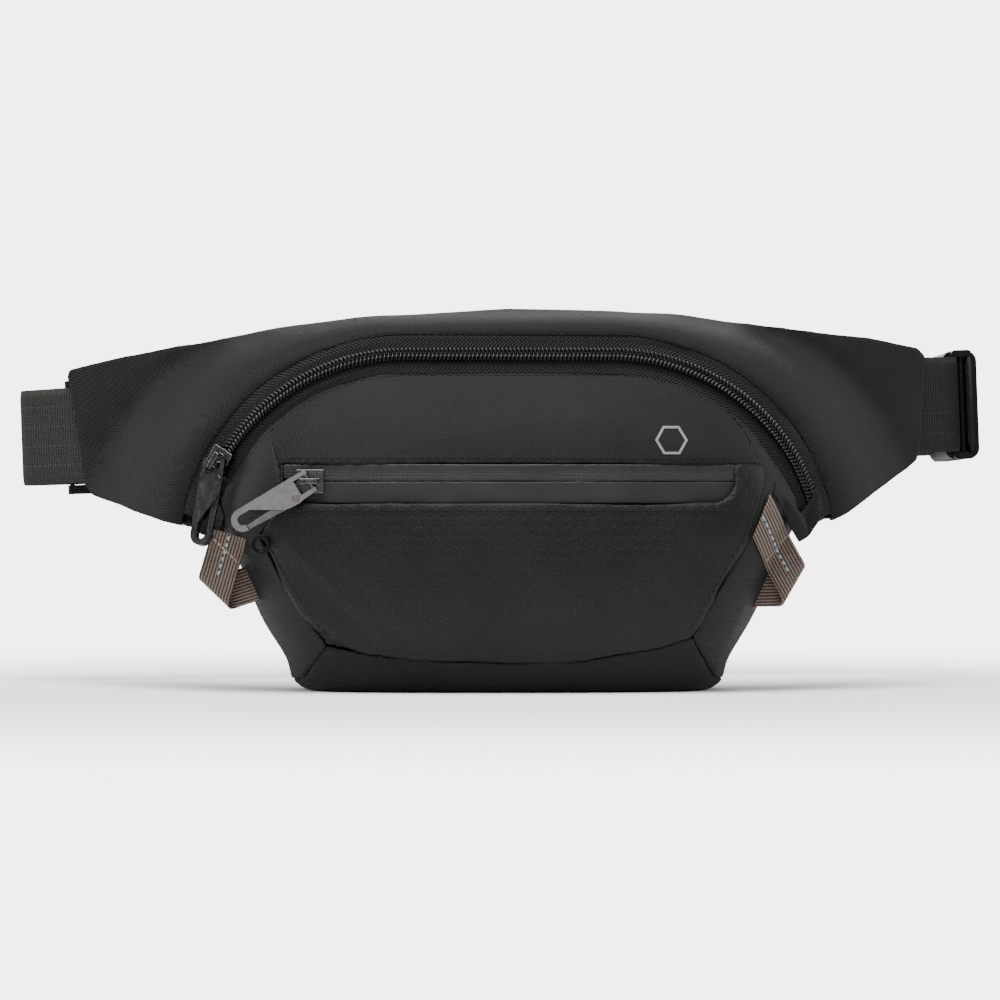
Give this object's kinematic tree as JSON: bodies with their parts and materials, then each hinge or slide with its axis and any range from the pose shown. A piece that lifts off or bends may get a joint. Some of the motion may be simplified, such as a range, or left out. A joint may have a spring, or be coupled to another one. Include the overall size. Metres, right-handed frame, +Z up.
{
  "type": "waist pack",
  "caption": "Wearable fabric pouch with tapering wings, an arched main zip, a front zip pocket and an adjustable webbing belt closed by a side-release buckle.",
  "frame": {"origin": "centre of the flat base on which the pouch stands", "axes": "+Z up, +X towards the wearer's left, -Y the way the pouch faces, +Y towards the wearer's body and the belt"},
  "size_m": [0.3882, 0.2145, 0.146],
  "materials": {
    "wing_twill": "fine black twill",
    "back_mesh": "black spacer mesh",
    "foam": "soft foam padding",
    "front_twill": "fine black twill",
    "front_ripstop": "black ripstop with a hexagonal grid",
    "gusset": "smooth black weave",
    "bottom_fabric": "smooth black weave",
    "lining": "thin grey lining",
    "zip_tape": "black herringbone tape",
    "zip_coil": "glossy black nylon",
    "zip_metal": "satin dark nickel",
    "gate_metal": "dark nickel",
    "coated_tape": "matte coated water-resistant tape",
    "loop_webbing": "ribbed brown webbing with a blue stitch",
    "ring_rubber": "matte black",
    "belt_fabric": "ribbed black webbing",
    "buckle_plastic": "semi-gloss black acetal"
  },
  "bodies": {
    "bag": {"upper_body_panel": "wing_twill", "back_panel": "back_mesh", "back_foam": "foam", "wing_foam_left": "foam", "wing_foam_right": "foam", "front_panel_upper": "front_twill", "front_panel_lower": "front_ripstop", "side_gusset_left": "gusset", "side_gusset_right": "gusset", "bottom_gusset": "bottom_fabric", "main_lining": "lining", "pocket_lining": "lining", "main_zip_tape_outer": "zip_tape", "main_zip_tape_inner": "zip_tape", "zip_end_cover_left": "zip_tape", "zip_end_cover_right": "zip_tape", "main_zip_coil_outer": "zip_coil", "main_zip_coil_inner": "zip_coil", "pocket_zip_coil_upper": "zip_coil", "pocket_zip_coil_lower": "zip_coil", "main_zip_stop": "zip_metal", "pocket_zip_tape_upper": "coated_tape", "pocket_zip_tape_lower": "coated_tape", "webbing_loop_left": "loop_webbing", "webbing_loop_right": "loop_webbing", "lock_loop": "ring_rubber", "belt_webbing": "belt_fabric", "belt_return": "belt_fabric", "belt_tab_right": "belt_fabric", "buckle_female": "buckle_plastic", "buckle_male": "buckle_plastic"},
    "main_slider": {"main_zip_slider": "zip_metal"},
    "main_pull": {"main_zip_pull": "zip_metal", "main_pull_pin": "gate_metal"},
    "main_gate": {"main_pull_gate": "gate_metal"},
    "pocket_slider": {"pocket_zip_slider": "zip_metal"},
    "pocket_pull": {"pocket_zip_pull": "zip_metal", "pocket_pull_pin": "gate_metal"},
    "pocket_gate": {"pocket_pull_gate": "gate_metal"},
    "prong_upper": {"buckle_prong_upper": "buckle_plastic"},
    "prong_lower": {"buckle_prong_lower": "buckle_plastic"},
    "tri_glide": {"tri_glide": "buckle_plastic"}
  },
  "joints": [
    {"name": "main_slider_turn", "type": "hinge", "parent": "bag", "child": "main_slider", "pos_m": [-0.039, 0.00063, 0.04875], "axis": [0, 0.9781, 0.2079], "range_deg": [0, 55], "deforming": ["main_zip_tape_outer", "main_zip_tape_inner", "main_zip_coil_outer", "main_zip_coil_inner"]},
    {"name": "main_pull_turn", "type": "hinge", "parent": "main_slider", "child": "main_pull", "pos_m": [-0.11133, -0.01193, 0.08707], "axis": [-0.8823, 0.4677, 0.0538], "range_deg": [0, 130]},
    {"name": "main_gate_turn", "type": "hinge", "parent": "main_pull", "child": "main_gate", "pos_m": [-0.10984, -0.01468, 0.07962], "axis": [0.4449, 0.8656, -0.2298], "range_deg": [0, 10], "stiffness_Nm_per_rad": 0.1},
    {"name": "pocket_slider_turn", "type": "hinge", "parent": "bag", "child": "pocket_slider", "pos_m": [0, 0.4094, 0.079], "axis": [0, 0, 1], "range_deg": [0, 18.5], "deforming": ["pocket_zip_tape_upper", "pocket_zip_tape_lower", "pocket_zip_coil_upper", "pocket_zip_coil_lower"]},
    {"name": "pocket_pull_turn", "type": "hinge", "parent": "pocket_slider", "child": "pocket_pull", "pos_m": [-0.07533, -0.03648, 0.079], "axis": [-0.5225, 0.0883, 0.848], "range_deg": [0, 130]},
    {"name": "pocket_gate_turn", "type": "hinge", "parent": "pocket_pull", "child": "pocket_gate", "pos_m": [-0.08016, -0.03737, 0.07258], "axis": [-0.0258, 0.9925, -0.1192], "range_deg": [0, 10], "stiffness_Nm_per_rad": 0.1},
    {"name": "prong_upper_turn", "type": "hinge", "parent": "bag", "child": "prong_upper", "pos_m": [0.18589, 0.127, 0.12502], "axis": [0.9993, 0, 0.0366], "range_deg": [0, 8], "stiffness_Nm_per_rad": 0.4},
    {"name": "prong_lower_turn", "type": "hinge", "parent": "bag", "child": "prong_lower", "pos_m": [0.18686, 0.127, 0.09864], "axis": [-0.9993, 0, -0.0366], "range_deg": [0, 8], "stiffness_Nm_per_rad": 0.4},
    {"name": "tri_glide_slide", "type": "slide", "parent": "bag", "child": "tri_glide", "axis": [0.9843, 0.1727, 0.0361], "range_m": [0, 0.06], "deforming": ["belt_return"]}
  ]
}
